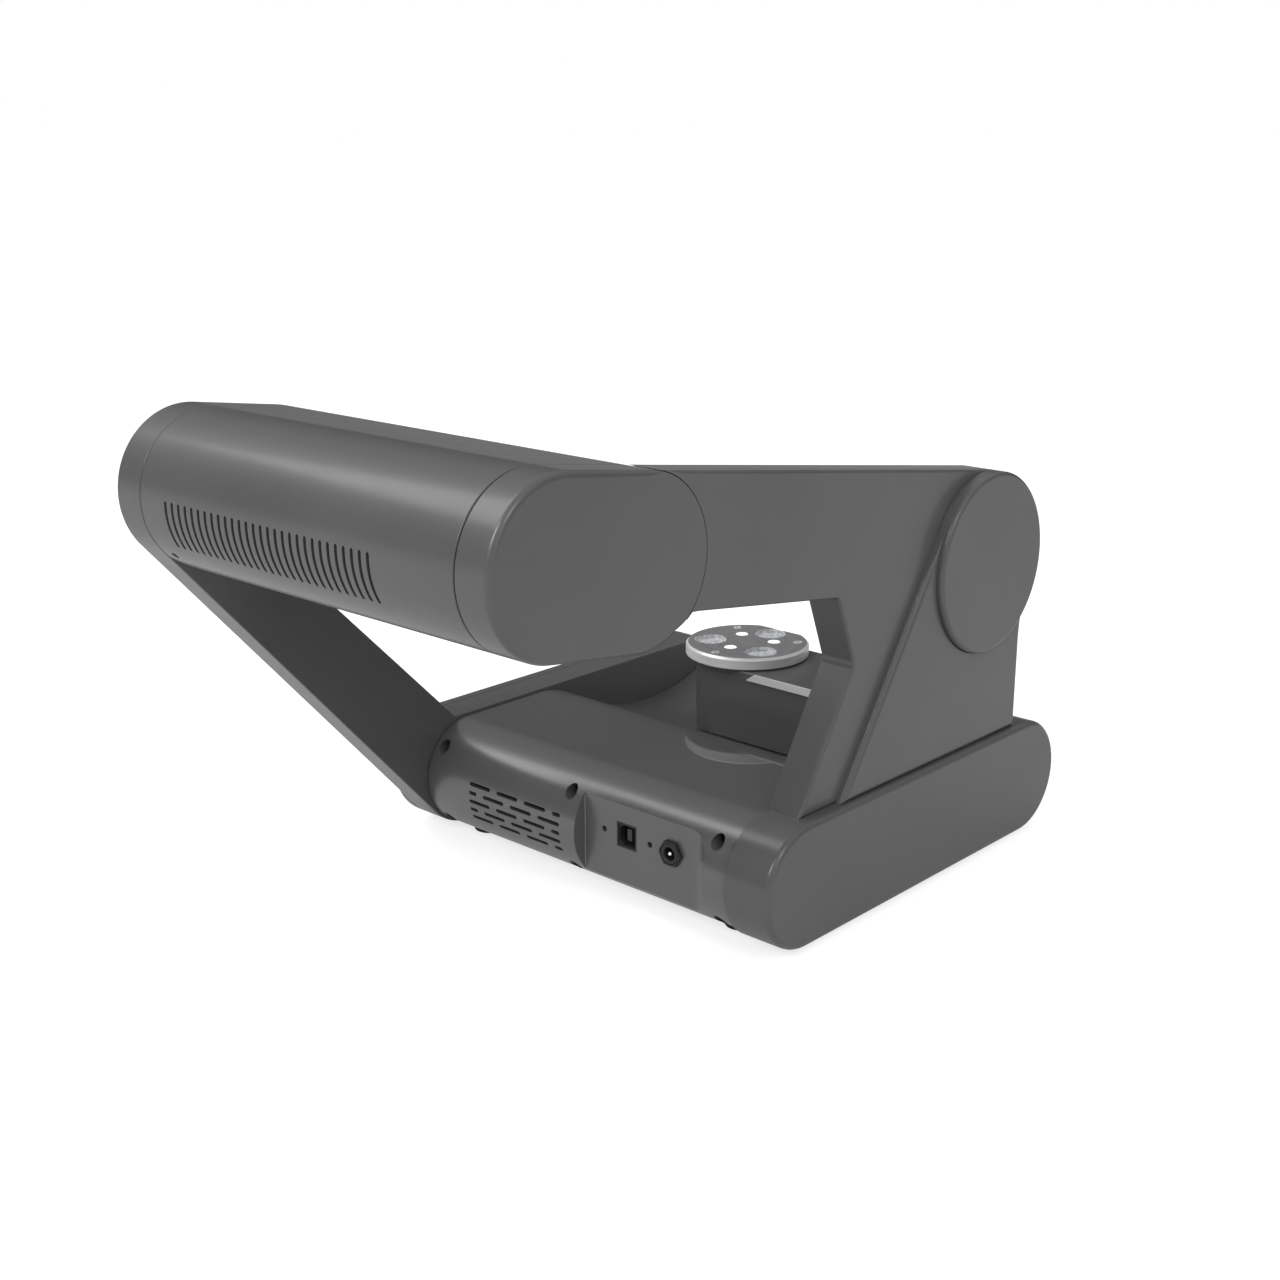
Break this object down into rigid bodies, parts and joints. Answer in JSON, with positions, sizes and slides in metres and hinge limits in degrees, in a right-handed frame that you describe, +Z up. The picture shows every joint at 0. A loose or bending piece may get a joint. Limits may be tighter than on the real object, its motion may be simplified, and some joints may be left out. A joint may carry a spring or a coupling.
{
  "type": "desktop 3d scanner",
  "caption": "Desktop scanner: a scan head on two side arms looks down at a turntable carried by a pendulum swing arm over a trough in the base.",
  "frame": {"origin": "on the desk under the middle of the bounding box", "axes": "+X from the hub side to the plank side, +Y to the rear (sockets and head), +Z up"},
  "size_m": [0.2532, 0.3984, 0.2416],
  "materials": {
    "casing": "smooth dark grey moulded plastic, fairly glossy",
    "casing_dark": "dark moulded plastic",
    "black_plastic": "black moulded plastic",
    "rubber": "black rubber",
    "steel": "bright steel",
    "sheet": "zinc-plated sheet steel",
    "alloy": "machined aluminium, brushed",
    "belt": "black toothed-belt rubber",
    "glass": "dark coated optical glass",
    "circuit": "green solder mask",
    "light_pipe": "clear light pipe"
  },
  "bodies": {
    "frame": {"base_shell": "casing", "base_plate": "sheet", "rear_bracket": "sheet", "rubber_pads": "rubber", "near_foot": "casing", "near_gusset": "casing", "near_arm": "casing", "near_arm_liner": "casing", "far_arm": "casing", "far_arm_liner": "casing", "far_foot_cover": "casing", "hub_cover": "casing", "bearing_block": "alloy", "swing_bearings": "steel", "swing_motor": "casing_dark", "swing_belt": "belt", "head_shell": "casing", "head_cap": "casing", "window_frame": "black_plastic", "window_glass": "glass", "optics_bench": "alloy", "projector": "casing_dark", "projector_lens": "black_plastic", "cameras": "casing_dark", "camera_lenses": "black_plastic", "heat_sink": "alloy", "head_board": "circuit", "fan_frame": "black_plastic", "usb_socket": "black_plastic", "power_jack": "black_plastic", "jack_nut": "casing_dark", "status_lights": "light_pipe", "port_board": "circuit", "control_board": "circuit", "base_screws": "steel", "pad_screws": "steel"},
    "swing": {"swing_shaft": "steel", "swing_pulley": "alloy", "swing_link": "casing", "swing_box": "casing", "swing_lid": "casing", "trim_strip": "alloy", "table_motor": "casing_dark", "table_bearing": "steel"},
    "table": {"table_spindle": "steel", "turntable": "alloy", "table_magnets": "steel", "table_screws": "steel"},
    "drive": {"drive_pulley": "alloy"},
    "fan": {"fan_rotor": "casing_dark"}
  },
  "joints": [
    {"name": "arm_swing", "type": "hinge", "parent": "frame", "child": "swing", "pos_m": [0, -0.1264, 0.1552], "axis": [1, 0, 0], "range_deg": [-75, 30]},
    {"name": "drive_spin", "type": "hinge", "parent": "frame", "child": "drive", "pos_m": [-0.11, -0.02999, 0.033], "axis": [1, 0, 0], "range_deg": [-250, 100]},
    {"name": "turntable_spin", "type": "hinge", "parent": "swing", "child": "table", "pos_m": [0.0158, -0.1136, 0.085], "axis": [0, 0, 1], "continuous": true},
    {"name": "fan_spin", "type": "hinge", "parent": "frame", "child": "fan", "pos_m": [0.062, 0.1628, 0.2052], "axis": [0, 0.9711, -0.2385], "continuous": true}
  ],
  "couplings": [
    {"joint": "drive_spin", "follows": "arm_swing", "ratio": 3.25}
  ]
}
